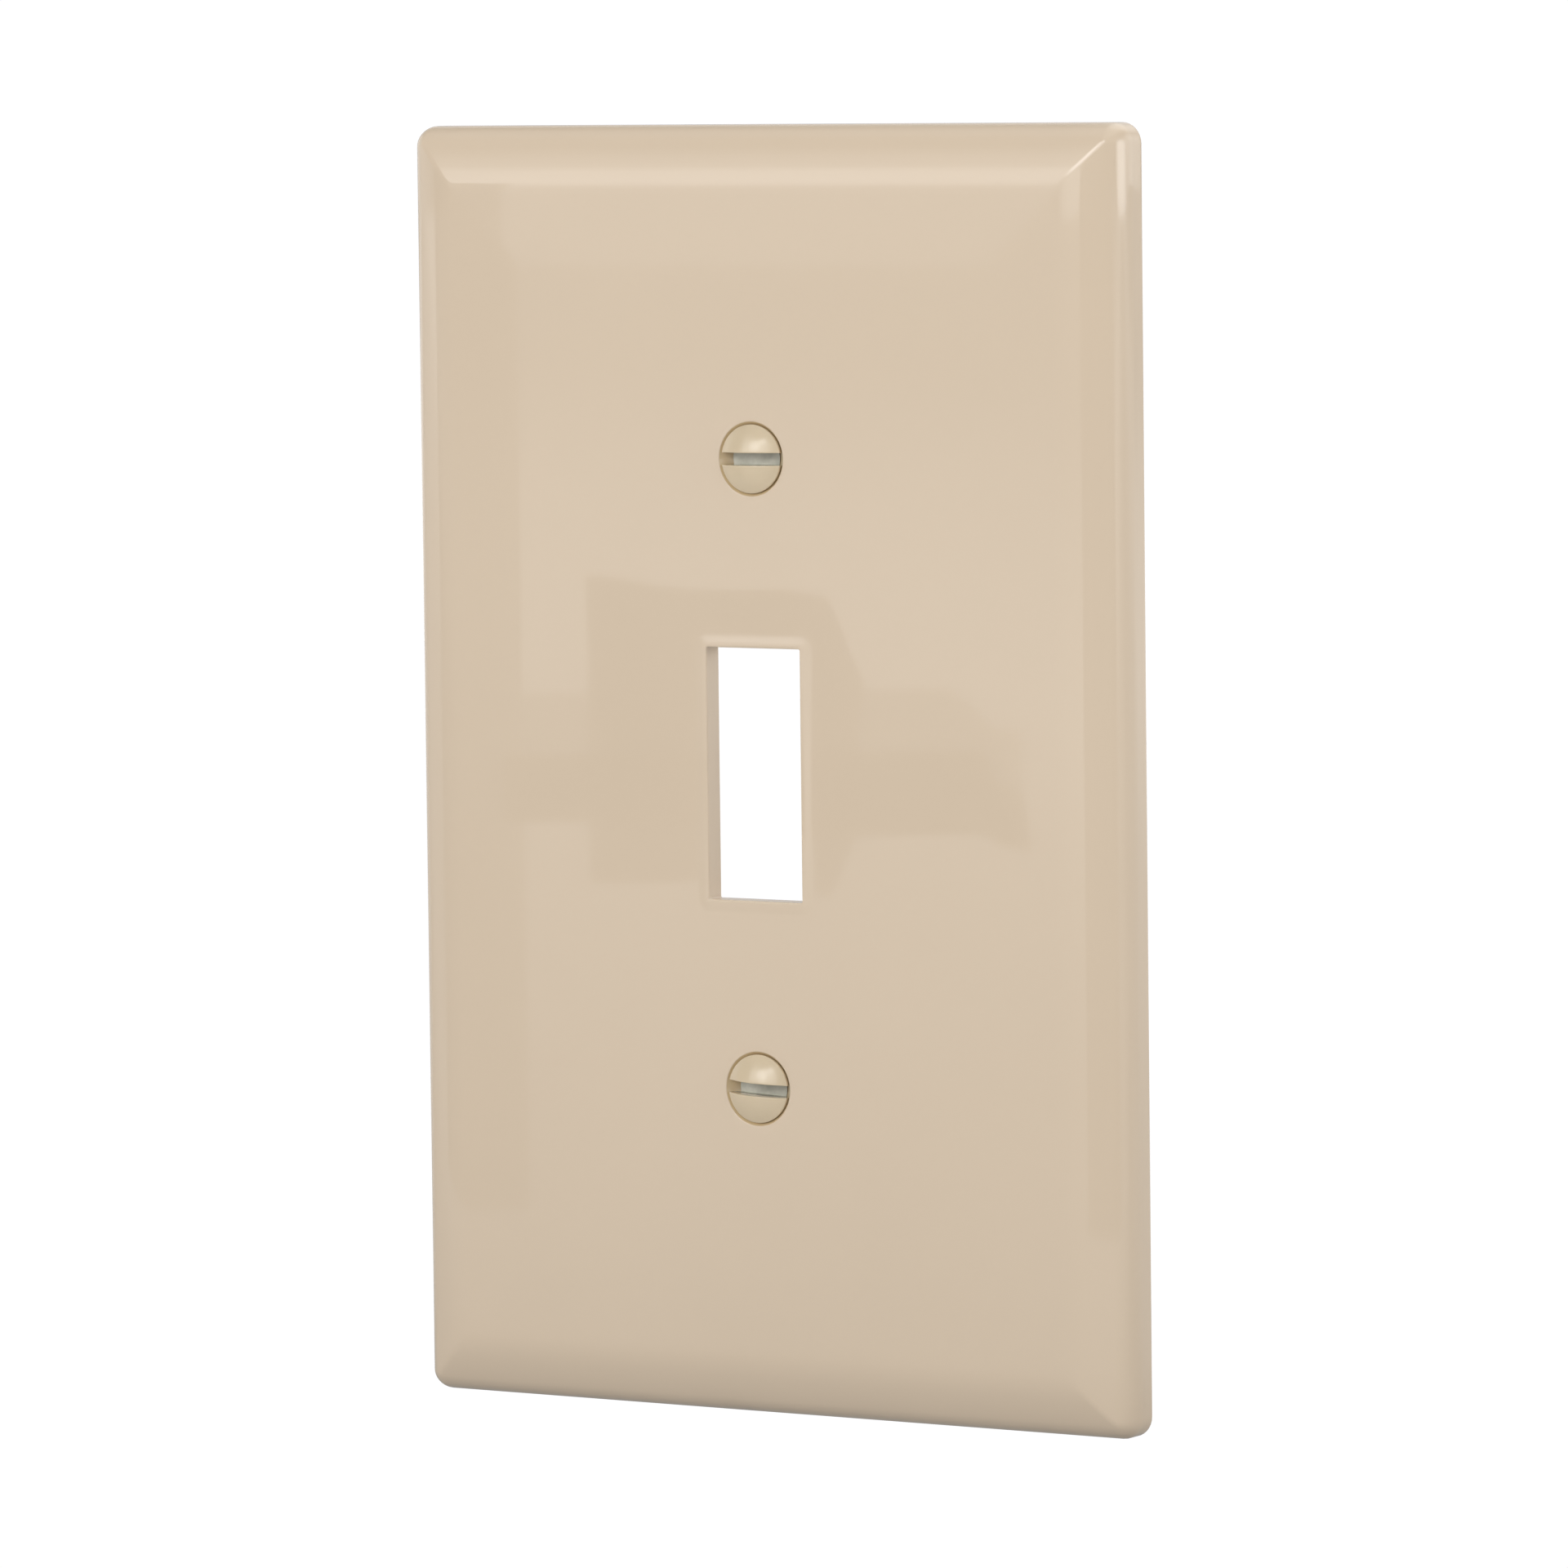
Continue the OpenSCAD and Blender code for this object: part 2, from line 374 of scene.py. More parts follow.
def seat_skin(shape, side):
    """Countersink, clearance bore, guide and boss, from the face to the hollow's roof."""
    r_seat, r_clear, r_guide, r_boss = SEAT_D / 2, CLEAR_D / 2, GUIDE_D / 2, BOSS_D / 2
    seat_l = (r_seat - r_clear) / CONE_SLOPE
    clear_top = PLATE_D - seat_l
    guide_top = BOSS_GAP + GUIDE_L
    profile = [(r_seat + 0.5, PLATE_D), (r_seat + 0.06, PLATE_D)]
    # The countersink's edge is rounded
    for out, down in ((0.02, 0.006), (-0.02, 0.028), (-0.055, 0.07), (-0.1, 0.13)):
        profile.append((r_seat + out, PLATE_D - down))
    profile += [
        (r_seat - 0.5, PLATE_D - 0.5 / CONE_SLOPE - 0.03),
        (r_clear + 0.1, clear_top + 0.1 / CONE_SLOPE),
        (r_clear, clear_top - 0.05),
        (r_clear, guide_top + 0.05),
        (r_clear - 0.05, guide_top),
        (r_guide + 0.03, guide_top),
        (r_guide, guide_top - 0.03),
        (r_guide, BOSS_GAP + 0.06),
        (r_guide + 0.06, BOSS_GAP),
        (r_guide + 0.2, BOSS_GAP),
        (r_boss - 0.4, BOSS_GAP),
        (r_boss - 0.2, BOSS_GAP),
        (r_boss - 0.1, BOSS_GAP + 0.025),
        (r_boss - 0.03, BOSS_GAP + 0.09),
        (r_boss, BOSS_GAP + 0.2),
        (r_boss, BOSS_GAP + 0.6),
        (r_boss, ROOF_H - 0.8),
    ]
    for up, out in quarter(BOSS_FILLET, BOSS_FILLET_STEPS):
        profile.append((r_boss + out, ROOF_H - BOSS_FILLET + up))
    profile.append((r_boss + BOSS_FILLET + 0.4, ROOF_H))
    rows = []
    for r, h in profile:
        # Painted shade: everything between the countersink's edge and the guide is marked, and the plastic
        # is painted darker there
        seat_shaded = r < r_seat - 0.05 and h > guide_top
        rows.append(shape.add(circle_loop(side * SCREW_UP, r, h, SEAT_STEPS), bare=float(seat_shaded)))
    shape.bridge_all(rows)
    return rows[0], rows[-1]


# ---- The hollow behind the face ----
WALL_X = HALF_W - RIM_T
WALL_Y = HALF_H - RIM_T
ROOF_EDGE_IN = CREASE_IN + FACE_T * math.tan(BEVEL / 2)
INNER_R = 1.0
WALL_FILLET = 0.35
RIB_EDGE = 0.1
RIB_FOOT = 0.3
RIB_DRAFT = 0.05
ROOF_EASE = 0.5
INNER_STEPS = 6
# Distances from the side wall where the grid has a line
WALL_MARKS = (0.0, 0.01, 0.04, 0.09, 0.17, 0.26, WALL_FILLET, 0.6, INNER_R)


def rib_height(d):
    """Height over the wall of a rib's surface at a distance d from its middle."""
    low = ROOF_H - RIB_H
    flat = RIB_T / 2 - RIB_EDGE
    if d <= flat:
        return low
    if d <= RIB_T / 2:
        t = d - flat
        return low + RIB_EDGE - math.sqrt(max(RIB_EDGE**2 - t * t, 0.0))
    foot_start = RIB_T / 2 + RIB_DRAFT
    if d <= foot_start:
        return low + RIB_EDGE + (d - RIB_T / 2) / RIB_DRAFT * (RIB_H - RIB_EDGE - RIB_FOOT)
    t = d - foot_start
    if t < RIB_FOOT:
        return ROOF_H - RIB_FOOT + math.sqrt(max(RIB_FOOT**2 - (RIB_FOOT - t) ** 2, 0.0))
    return ROOF_H + 1.0


def wall_distance(x, y):
    """Distance from the hollow's side wall, whose corners are rounded."""
    qx, qy = abs(x) - (WALL_X - INNER_R), abs(y) - (WALL_Y - INNER_R)
    if qx > 0 and qy > 0:
        return INNER_R - math.hypot(qx, qy)
    return INNER_R - max(qx, qy)


def roof_height(x, y):
    """Height over the wall of everything behind the face: the roof, its slopes and the ribs."""
    square_in = RIM_T + min(WALL_X - abs(x), WALL_Y - abs(y))
    run = ROOF_EDGE_IN - square_in
    if run > ROOF_EASE:
        drop = run
    elif run > -ROOF_EASE:
        drop = (run + ROOF_EASE) ** 2 / (4 * ROOF_EASE)
    else:
        drop = 0.0
    h = ROOF_H - drop * math.tan(BEVEL)
    d = max(wall_distance(x, y), 0.0)
    if d < WALL_FILLET:
        h -= WALL_FILLET - math.sqrt(max(WALL_FILLET**2 - (WALL_FILLET - d) ** 2, 0.0))
    ribs = [rib_height(abs(y - c)) for c in CROSS_RIBS]
    if abs(y) <= CROSS_RIBS[-1]:
        ribs.append(rib_height(abs(abs(x) - LONG_RIB_X)))
    return min([h] + ribs)


def grid_lines(half, ribs, extra):
    """Places of the grid's lines: close together where a rib, a slope or the side wall bends."""
    foot = RIB_T / 2 + RIB_DRAFT
    steps = [0.0, RIB_T / 2 - RIB_EDGE, RIB_T / 2 - 0.04, RIB_T / 2]
    steps += [foot, foot + 0.02, foot + 0.08, foot + 0.17, foot + RIB_FOOT, foot + RIB_FOOT + 0.25]
    places = {0.0}
    for c in ribs:
        places |= {c + s for s in steps} | {c - s for s in steps}
    for d in WALL_MARKS:
        places |= {half - d, d - half}
    slope_edge = half + RIM_T - ROOF_EDGE_IN
    for d in (-0.5, -0.25, 0.0, 0.25, 0.5, 0.8):
        places |= {slope_edge - d, d - slope_edge}
    for e in extra:
        places |= {e, -e}
    lines = sorted(places)
    kept = [lines[0]]
    for p in lines[1:]:
        if p - kept[-1] > 1e-6:
            kept.append(p)
    return kept


BOSS_PATCH = 6.2
OPENING_PATCH_X = 6.8
OPENING_PATCH_Y = 14.0


def in_patch(x, y):
    """True in the flat patches of the roof that the bosses and the opening stand in."""
    if abs(x) < OPENING_PATCH_X and abs(y) < OPENING_PATCH_Y:
        return True
    return abs(x) < BOSS_PATCH and abs(abs(y) - SCREW_UP) < BOSS_PATCH


def outline_of(cells, numbers):
    """The closed loops of point numbers round a set of grid cells."""
    step = {}
    for i, j in cells:
        for a, b, beyond in (
            ((i, j), (i + 1, j), (i, j - 1)),
            ((i + 1, j), (i + 1, j + 1), (i + 1, j)),
            ((i + 1, j + 1), (i, j + 1), (i, j + 1)),
            ((i, j + 1), (i, j), (i - 1, j)),
        ):
            if beyond not in cells:
                step[numbers[a]] = numbers[b]
    loops = []
    while step:
        start, nxt = step.popitem()
        loop = [start]
        while nxt != start:
            loop.append(nxt)
            nxt = step.pop(nxt)
        loops.append(loop)
    return loops


def hollow_skin(shape):
    """The roof with its ribs as a grid, with open patches round the bosses and the opening.

    Gives the patches' outlines and the places of the grid's lines.
    """
    xs = grid_lines(WALL_X, (-LONG_RIB_X, LONG_RIB_X), (BOSS_PATCH, OPENING_PATCH_X, 15, 20, 25, 30))
    ys_extra = (SCREW_UP - BOSS_PATCH, SCREW_UP + BOSS_PATCH, OPENING_PATCH_Y, 5, 10, 48, 52)
    ys = grid_lines(WALL_Y, CROSS_RIBS, ys_extra)
    numbers = {}
    for i, x in enumerate(xs):
        for j, y in enumerate(ys):
            numbers[i, j] = shape.add([(x, y, roof_height(x, y))])[0]
    patch_cells, roof_cells = set(), set()
    for i in range(len(xs) - 1):
        for j in range(len(ys) - 1):
            mx, my = (xs[i] + xs[i + 1]) / 2, (ys[j] + ys[j + 1]) / 2
            if abs(mx) > WALL_X - INNER_R and abs(my) > WALL_Y - INNER_R:
                continue
            (patch_cells if in_patch(mx, my) else roof_cells).add((i, j))
    for i, j in roof_cells:
        shape.faces.append((numbers[i, j], numbers[i + 1, j], numbers[i + 1, j + 1], numbers[i, j + 1]))
    hollow_corners(shape)
    return outline_of(patch_cells, numbers), xs, ys


def hollow_corners(shape):
    """The roof's rounded corners: quarter rings between the grid and the side wall."""
    for sx in (-1, 1):
        for sy in (-1, 1):
            cx, cy = sx * (WALL_X - INNER_R), sy * (WALL_Y - INNER_R)
            rows = []
            for d in WALL_MARKS:
                row = []
                for i in range(INNER_STEPS + 1):
                    a = math.pi / 2 * i / INNER_STEPS
                    x = cx + sx * (INNER_R - d) * math.cos(a)
                    y = cy + sy * (INNER_R - d) * math.sin(a)
                    row.append((x, y, roof_height(x, y)))
                rows.append(row)
            shape.rings(rows, closed=False)


def wall_loop(xs, ys, inset, h):
    """The hollow's outline, with the roof grid's own points along its sides."""
    half_x, half_y, r = WALL_X - inset, WALL_Y - inset, INNER_R - inset
    flat_x = [x for x in xs if abs(x) <= WALL_X - INNER_R + 1e-9]
    flat_y = [y for y in ys if abs(y) <= WALL_Y - INNER_R + 1e-9]
    points = [(half_x, y, h) for y in flat_y]
    points += corner_arc(half_x - r, half_y - r, r, 0, h)
    points += [(x, half_y, h) for x in reversed(flat_x)]
    points += corner_arc(-half_x + r, half_y - r, r, 90, h)
    points += [(-half_x, y, h) for y in reversed(flat_y)]
    points += corner_arc(-half_x + r, -half_y + r, r, 180, h)
    points += [(x, -half_y, h) for x in flat_x]
    points += corner_arc(half_x - r, -half_y + r, r, 270, h)
    return points


def corner_arc(cx, cy, r, start, h):
    """The points inside a quarter circle, without its two ends."""
    points = []
    for i in range(1, INNER_STEPS):
        a = math.radians(start + 90 * i / INNER_STEPS)
        points.append((cx + r * math.cos(a), cy + r * math.sin(a), h))
    return points


def side_wall_skin(shape, xs, ys):
    """The hollow's side wall, from the roof's edge to the rim that lies on the wall."""
    top = [(x, y, roof_height(x, y)) for x, y, _ in wall_loop(xs, ys, 0.0, 0.0)]
    loops = [top]
    for h in (1.2, 0.3, 0.1):
        loops.append([(x, y, h) for x, y, _ in top])
    # The rim's inner edge is eased
    loops.append(wall_loop(xs, ys, -0.03, 0.03))
    loops.append(wall_loop(xs, ys, -0.1, 0.0))
    return shape.rings(loops)[-1]


def make_plate(material):
    """The moulding as one closed mesh. The flat parts of the face, the rim and the roof are filled in."""
    shape = Shape()
    rim_outer, field = outer_skin(shape)
    lip, opening_back = opening_skin(shape)
    seats = [seat_skin(shape, side) for side in (1, -1)]
    holes, xs, ys = hollow_skin(shape)
    rim_inner = side_wall_skin(shape, xs, ys)
    fills = [[field, lip, seats[0][0], seats[1][0]], [rim_outer, rim_inner]]
    for hole in holes:
        middle = sum(shape.points[i][1] for i in hole) / len(hole)
        if abs(middle) < SCREW_UP / 2:
            inner = opening_back
        else:
            inner = seats[0 if middle > 0 else 1][1]
        fills.append([hole, inner])
    plate = mesh_object("plate_shell", shape, fills, material)
    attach(plate, "plate")
    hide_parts("wall_plate")


# ---- The screws ----
HALF_ARC = 28
HEAD_EDGE_R = 0.15
HEAD_EDGE_STEPS = 5
SLOT_ROWS = 4
SLOT_ROUND = 0.09
SLOT_FLOOR_R = HEAD_R - (RIM_H - SLOT_FLOOR) * CONE_SLOPE
# Rows over one side of the oval top, as shares of the way from the slot's edge to the head's edge
DOME_SHARES = [0.0, 0.006, 0.014, 0.025, 0.04, 0.07] + [0.07 + 0.93 * k / 12 for k in range(1, 13)]


def dome_height(r):
    """Height of the oval top at a distance r from the screw's axis."""
    return DOME_TOP - DOME_R + math.sqrt(DOME_R**2 - r * r)


def head_profile():
    """(radius, height) of the head from the oval top's edge down to the level of the slot's floor."""
    # An arc rounds the edge: it leaves the oval top along its slope and meets the band upright
    slope = math.asin((HEAD_R - HEAD_EDGE_R / 2) / DOME_R)
    start_r = HEAD_R - HEAD_EDGE_R * (1 - math.sin(slope))
    start_h = dome_height(start_r)
    points = []
    for i in range(HEAD_EDGE_STEPS + 1):
        a = slope + (math.pi / 2 - slope) * i / HEAD_EDGE_STEPS
        r = start_r + HEAD_EDGE_R * (math.sin(a) - math.sin(slope))
        points.append((r, start_h - HEAD_EDGE_R * (math.cos(slope) - math.cos(a))))
    points += [(HEAD_R, RIM_H + 0.03), (HEAD_R - 0.02, RIM_H - 0.03)]
    for h in (RIM_H - 0.1, RIM_H - 0.3, SLOT_FLOOR):
        points.append((HEAD_R - (RIM_H - h) * CONE_SLOPE, h))
    return points


def half_ring(r, h, side):
    """One side's arc of a ring that the slot cuts, from the slot's right end to its left end."""
    first = math.asin(SLOT_W / 2 / r)
    points = []
    for i in range(HALF_ARC + 1):
        a = first + (math.pi - 2 * first) * i / HALF_ARC
        points.append((r * math.cos(a), side * r * math.sin(a), h))
    return points


def slot_rounding(x, y, x_end):
    """How far the slot's rounded edge lowers the oval top. It fades out at the head's rim."""
    away = abs(y) - SLOT_W / 2
    if away >= SLOT_ROUND:
        return 0.0
    fade = 1 - smooth_step((abs(x) / x_end - 0.9) / 0.1)
    return fade * (SLOT_ROUND - math.sqrt(max(SLOT_ROUND**2 - (SLOT_ROUND - away) ** 2, 0.0)))


def dome_rows(r_top, side):
    """Rows of points over one side of the oval top, from the slot's edge to the head's edge."""
    arc = half_ring(r_top, 0.0, side)
    x_end = arc[0][0]
    slot_x = [x_end * math.cos(math.pi * i / HALF_ARC) for i in range(HALF_ARC + 1)]
    slot_y = side * SLOT_W / 2
    rows = []
    for share in DOME_SHARES:
        row = []
        for start_x, (end_x, end_y, _) in zip(slot_x, arc):
            x = start_x + (end_x - start_x) * share
            y = slot_y + (end_y - slot_y) * share
            row.append((x, y, dome_height(math.hypot(x, y)) - slot_rounding(x, y, x_end)))
        rows.append(row)
    return rows


def head_skin(shape):
    """The oval head on both sides of its slot, down to the level of the slot's floor."""
    profile = head_profile()
    for side in (1, -1):
        dome = shape.rings(dome_rows(profile[0][0], side), closed=False)
        rings = [half_ring(r, h, side) for r, h in profile[1:]]
        shape.bridge_all([dome[-1]] + [shape.add(ring) for ring in rings], closed=False)
        slot_wall(shape, dome[0], [ring[0] for ring in rings], side)


def slot_wall(shape, top_row, end_points, side):
    """One flat wall of the slot, from the dome's edge down to the slot's floor."""
    top = [shape.points[i] for i in top_row]
    x_top, _, h_end = top[0]
    rows = [top_row]
    for x_end, _, h in end_points:
        share = (h - SLOT_FLOOR) / (h_end - SLOT_FLOOR)
        row = []
        for x, y, h_top in top:
            row.append((x / x_top * x_end, side * SLOT_W / 2, SLOT_FLOOR + (h_top - SLOT_FLOOR) * share))
        # The enamel reaches a little way down the wall
        rows.append(shape.add(row, bare=smooth_step(1.3 - 1.6 * share)))
    shape.bridge_all(rows, closed=False)


def floor_end(k):
    """(x, y) of the right end of the slot floor's row k, where the floor meets the cone under the head."""
    y = SLOT_W * (k / SLOT_ROWS - 0.5)
    return math.sqrt(SLOT_FLOOR_R**2 - y * y), y


def slot_floor(shape):
    rows = []
    for k in range(SLOT_ROWS + 1):
        x_end, y = floor_end(k)
        rows.append([(x_end * math.cos(math.pi * i / HALF_ARC), y, SLOT_FLOOR) for i in range(HALF_ARC + 1)])
    shape.rings(rows, closed=False, bare=1.0)


def floor_ring():
    """The whole ring at the level of the slot's floor: two arcs and the floor's two ends."""
    ends = [floor_end(k) for k in range(1, SLOT_ROWS)]
    ring = half_ring(SLOT_FLOOR_R, SLOT_FLOOR, 1)
    ring += [(-x, y, SLOT_FLOOR) for x, y in reversed(ends)]
    ring += reversed(half_ring(SLOT_FLOOR_R, SLOT_FLOOR, -1))
    ring += [(x, y, SLOT_FLOOR) for x, y in ends]
    return ring


THREAD_CREST = 0.14
THREAD_ROOT = 0.22
THREAD_FADE = 0.9
NECK_FOOT_R = NECK_R - 0.02
ROWS_PER_PITCH = 12


def thread_radius(h, turn):
    """Radius of the threaded shank at a height, and at a share of a turn round it."""
    phase = ((h / PITCH) - turn) % 1.0
    flank = abs(2 * phase - 1)
    t = max(0.0, min(1.0, (flank - THREAD_ROOT) / (1 - THREAD_ROOT - THREAD_CREST)))
    r = ROOT_R + (THREAD_R - ROOT_R) * t
    fade_in = smooth_step((NECK_END - h) / THREAD_FADE)
    r = NECK_FOOT_R + (r - NECK_FOOT_R) * fade_in
    return min(r, TIP_R + (h - TIP_H) * (THREAD_R - TIP_R) / TIP_L)


def thread_skin(shape, first_angle, count):
    """The right-hand thread: a grid whose rows follow the helix, closed by its own pitch."""
    last_row = int((NECK_END - TIP_H) / PITCH * ROWS_PER_PITCH) + 2 * ROWS_PER_PITCH
    rows = []
    for k in range(last_row + 1):
        row = []
        for i in range(count + 1):
            turn = i / count
            h = TIP_H + (k / ROWS_PER_PITCH + turn - 1) * PITCH
            h = max(TIP_H, min(NECK_END, h))
            r = thread_radius(h, turn)
            a = first_angle + 2 * math.pi * turn
            row.append((r * math.cos(a), r * math.sin(a), h))
        rows.append(row)
    shape.rings(rows, closed=False, bare=1.0)


def neck_skin(shape, ring):
    """From the ring at the slot's floor down the cone and the neck, as its points spread out evenly."""
    count = len(ring)
    first = math.atan2(ring[0][1], ring[0][0])
    angles = []
    for x, y, _ in ring:
        a = math.atan2(y, x)
        while angles and a < angles[-1]:
            a += 2 * math.pi
        angles.append(a)
    cone_end = RIM_H - (HEAD_R - NECK_R) / CONE_SLOPE
    profile = [
        (NECK_R + 0.12, cone_end + 0.12 / CONE_SLOPE + 0.01),
        (NECK_R + 0.03, cone_end - 0.02),
        (NECK_R, cone_end - 0.15),
        (NECK_R, NECK_END + 0.4),
        (NECK_R, NECK_END + 0.05),
        (NECK_FOOT_R, NECK_END),
    ]
    rows = [shape.add(ring)]
    for k, (r, h) in enumerate(profile, start=1):
        even = k / len(profile)
        loop = []
        for i, angle in enumerate(angles):
            a = angle * (1 - even) + (first + 2 * math.pi * i / count) * even
            loop.append((r * math.cos(a), r * math.sin(a), h))
        rows.append(shape.add(loop, bare=smooth_step(2.2 * even)))
    shape.bridge_all(rows)


def make_screw(name, body, node, material):
    """One screw as a closed mesh: head, neck, thread and tip."""
    shape = Shape()
    head_skin(shape)
    slot_floor(shape)
    ring = floor_ring()
    neck_skin(shape, ring)
    first_angle = math.atan2(ring[0][1], ring[0][0])
    thread_skin(shape, first_angle, len(ring))
    tip_loops = [circle_loop(0.0, r, TIP_H, len(ring), first_angle) for r in (TIP_R, TIP_R * 0.8)]
    tip = shape.rings(tip_loops, bare=1.0)
    # The slot lies across the plate, turned clockwise as the real one was left
    turn = math.radians(-SLOT_TURNS[body])
    up = joint_place[body][2] / MM
    shape.points = [
        (x * math.cos(turn) - y * math.sin(turn), x * math.sin(turn) + y * math.cos(turn) + up, h)
        for x, y, h in shape.points
    ]
    screw = mesh_object(name, shape, [[tip[-1]]], material)
    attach(screw, body)
    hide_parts(node)


# ---- Materials ----
def new_material(name):
    material = bpy.data.materials.new(name)
    material.use_nodes = True
    nodes = material.node_tree.nodes
    nodes.clear()
    output = nodes.new("ShaderNodeOutputMaterial")
    shader = nodes.new("ShaderNodeBsdfPrincipled")
    material.node_tree.links.new(shader.outputs["BSDF"], output.inputs["Surface"])
    return material, shader


def noise(tree, scale, detail, roughness=0.5):
    """Noise on the piece's own coordinates. scale is in waves per metre."""
    place = tree.nodes.new("ShaderNodeTexCoord")
    texture = tree.nodes.new("ShaderNodeTexNoise")
    texture.inputs["Scale"].default_value = scale
    texture.inputs["Detail"].default_value = detail
    texture.inputs["Roughness"].default_value = roughness
    tree.links.new(place.outputs["Object"], texture.inputs["Vector"])
    return texture.outputs["Fac"]


def ramp(tree, value, stops):
    """A colour ramp over a value: stops are (place, colour)."""
    node = tree.nodes.new("ShaderNodeValToRGB")
    elements = node.color_ramp.elements
    for i, (place, colour) in enumerate(stops):
        element = elements[i] if i < 2 else elements.new(place)
        element.position = place
        element.color = (*colour, 1.0)
    tree.links.new(value, node.inputs["Fac"])
    return node.outputs["Color"]


def map_range(tree, value, start, end, low=0.0, high=1.0, smooth=False):
    """Goes from low to high while value goes from start to end, and stays there."""
    node = tree.nodes.new("ShaderNodeMapRange")
    if smooth:
        node.interpolation_type = "SMOOTHSTEP"
    for socket, number in (("From Min", start), ("From Max", end), ("To Min", low), ("To Max", high)):
        node.inputs[socket].default_value = number
    tree.links.new(value, node.inputs["Value"])
    return node.outputs["Result"]


def spread(tree, value, low, high):
    """Maps the middle of a noise's range to low and high."""
    return map_range(tree, value, 0.3, 0.7, low, high)


def math_node(tree, operation, *values):
    node = tree.nodes.new("ShaderNodeMath")
    node.operation = operation
    for socket, value in zip(node.inputs, values):
        if isinstance(value, (int, float)):
            socket.default_value = value
        else:
            tree.links.new(value, socket)
    return node.outputs["Value"]


def zinc_and_seat_shade_attribute(tree):
    """The attribute that Shape keeps for each point."""
    node = tree.nodes.new("ShaderNodeAttribute")
    node.attribute_name = "bare"
    return node.outputs["Fac"]


def mix_colours(tree, share, first, second):
    """From the first colour to the second. The second is a socket or three numbers."""
    node = tree.nodes.new("ShaderNodeMix")
    node.data_type = "RGBA"
    tree.links.new(share, node.inputs["Factor"])
    tree.links.new(first, node.inputs["A"])
    if isinstance(second, tuple):
        node.inputs["B"].default_value = (*second, 1.0)
    else:
        tree.links.new(second, node.inputs["B"])
    return node.outputs["Result"]


def bump(tree, value, depth_mm, normal=None):
    """A bump as deep as depth_mm, over the normal of an earlier bump if there is one."""
    node = tree.nodes.new("ShaderNodeBump")
    node.inputs["Strength"].default_value = 1.0
    node.inputs["Distance"].default_value = depth_mm * MM
    tree.links.new(value, node.inputs["Height"])
    if normal is not None:
        tree.links.new(normal, node.inputs["Normal"])
    return node.outputs["Normal"]


def scaled(colour, factor):
    return tuple(c * factor for c in colour)


IVORY = (0.655, 0.534, 0.402)
# Painted shade for the countersinks and the bores under them, darker and yellower than the ivory
SEAT_SHADE_IVORY = (0.60, 0.46, 0.27)
ENAMEL = (0.640, 0.525, 0.365)
DARK_ZINC = (0.42, 0.41, 0.35)
PALE_ZINC = (0.58, 0.57, 0.50)


def make_ivory_plastic():
    """Moulded ivory nylon: glossy, with a trace of orange peel and slow changes of tint and gloss."""
    material, shader = new_material("ivory_plastic")
    tree = material.node_tree
    tint = noise(tree, 45, 3.0, 0.55)
    ivory = ramp(tree, tint, [(0.30, scaled(IVORY, 0.992)), (0.5, IVORY), (0.70, scaled(IVORY, 1.006))])
    # Painted shade: the countersinks and the bores under them are painted darker and yellower
    colour = mix_colours(tree, zinc_and_seat_shade_attribute(tree), ivory, SEAT_SHADE_IVORY)
    tree.links.new(colour, shader.inputs["Base Color"])
    gloss = noise(tree, 160, 4.0, 0.6)
    tree.links.new(spread(tree, gloss, 0.02, 0.03), shader.inputs["Roughness"])
    waves = bump(tree, noise(tree, 260, 1.0, 0.4), 0.002)
    peel = bump(tree, noise(tree, 1900, 2.0), 0.0004, waves)
    tree.links.new(peel, shader.inputs["Normal"])
    shader.inputs["IOR"].default_value = 1.5
    return material


def make_painted_screw():
    """Ivory enamel over zinc-plated steel. The attribute "bare" says where the zinc shows."""
    material, shader = new_material("painted_screw")
    tree = material.node_tree
    # The enamel's edge is ragged: noise is added to the attribute before it is cut
    rag = spread(tree, noise(tree, 2600, 4.0, 0.6), -0.22, 0.22)
    ragged = math_node(tree, "ADD", zinc_and_seat_shade_attribute(tree), rag)
    zinc_share = map_range(tree, ragged, 0.44, 0.56)
    enamel = ramp(tree, noise(tree, 420, 3.0), [(0.3, scaled(ENAMEL, 0.97)), (0.7, scaled(ENAMEL, 1.02))])
    zinc = ramp(tree, noise(tree, 900, 4.0), [(0.3, DARK_ZINC), (0.7, PALE_ZINC)])
    tree.links.new(mix_colours(tree, zinc_share, enamel, zinc), shader.inputs["Base Color"])
    tree.links.new(zinc_share, shader.inputs["Metallic"])
    # The zinc is duller than the enamel
    enamel_gloss = spread(tree, noise(tree, 700, 3.0), 0.14, 0.20)
    gloss = math_node(tree, "MULTIPLY_ADD", zinc_share, 0.34, enamel_gloss)
    tree.links.new(gloss, shader.inputs["Roughness"])
    rough = bump(tree, noise(tree, 1500, 3.0), 0.002)
    tree.links.new(rough, shader.inputs["Normal"])
    return material


# ---- Floor, background and light ----
WHITE = (1, 1, 1, 1)
# The background and the floor are just past white, so that they look evenly white
SEEN_WHITE = 1.02


def direction(azimuth, elevation):
    """Azimuth 0 is straight in front of the plate, 90 is on its right, and elevation 90 is overhead."""
    a, e = math.radians(azimuth), math.radians(elevation)
    return Vector((math.sin(a) * math.cos(e), -math.cos(a) * math.cos(e), math.sin(e)))


FLOOR_SIZE = 12
FLOOR_GAP = 0.0002
# The floor's glow, going away from the plate: beside it, where its own shadow falls, then further and
# further out to a bright place about a metre away, and dimmer again behind that. These strengths and
# the tent's started from a program's fit to the photo's brightness, and were adjusted after that
FLOOR_NEAR = 0.36
FLOOR_MIDDLE = 0.44
FLOOR_FAR = 0.64
FLOOR_OUT = 0.80
FLOOR_PEAK = 1.20
FLOOR_BACK = 0.60


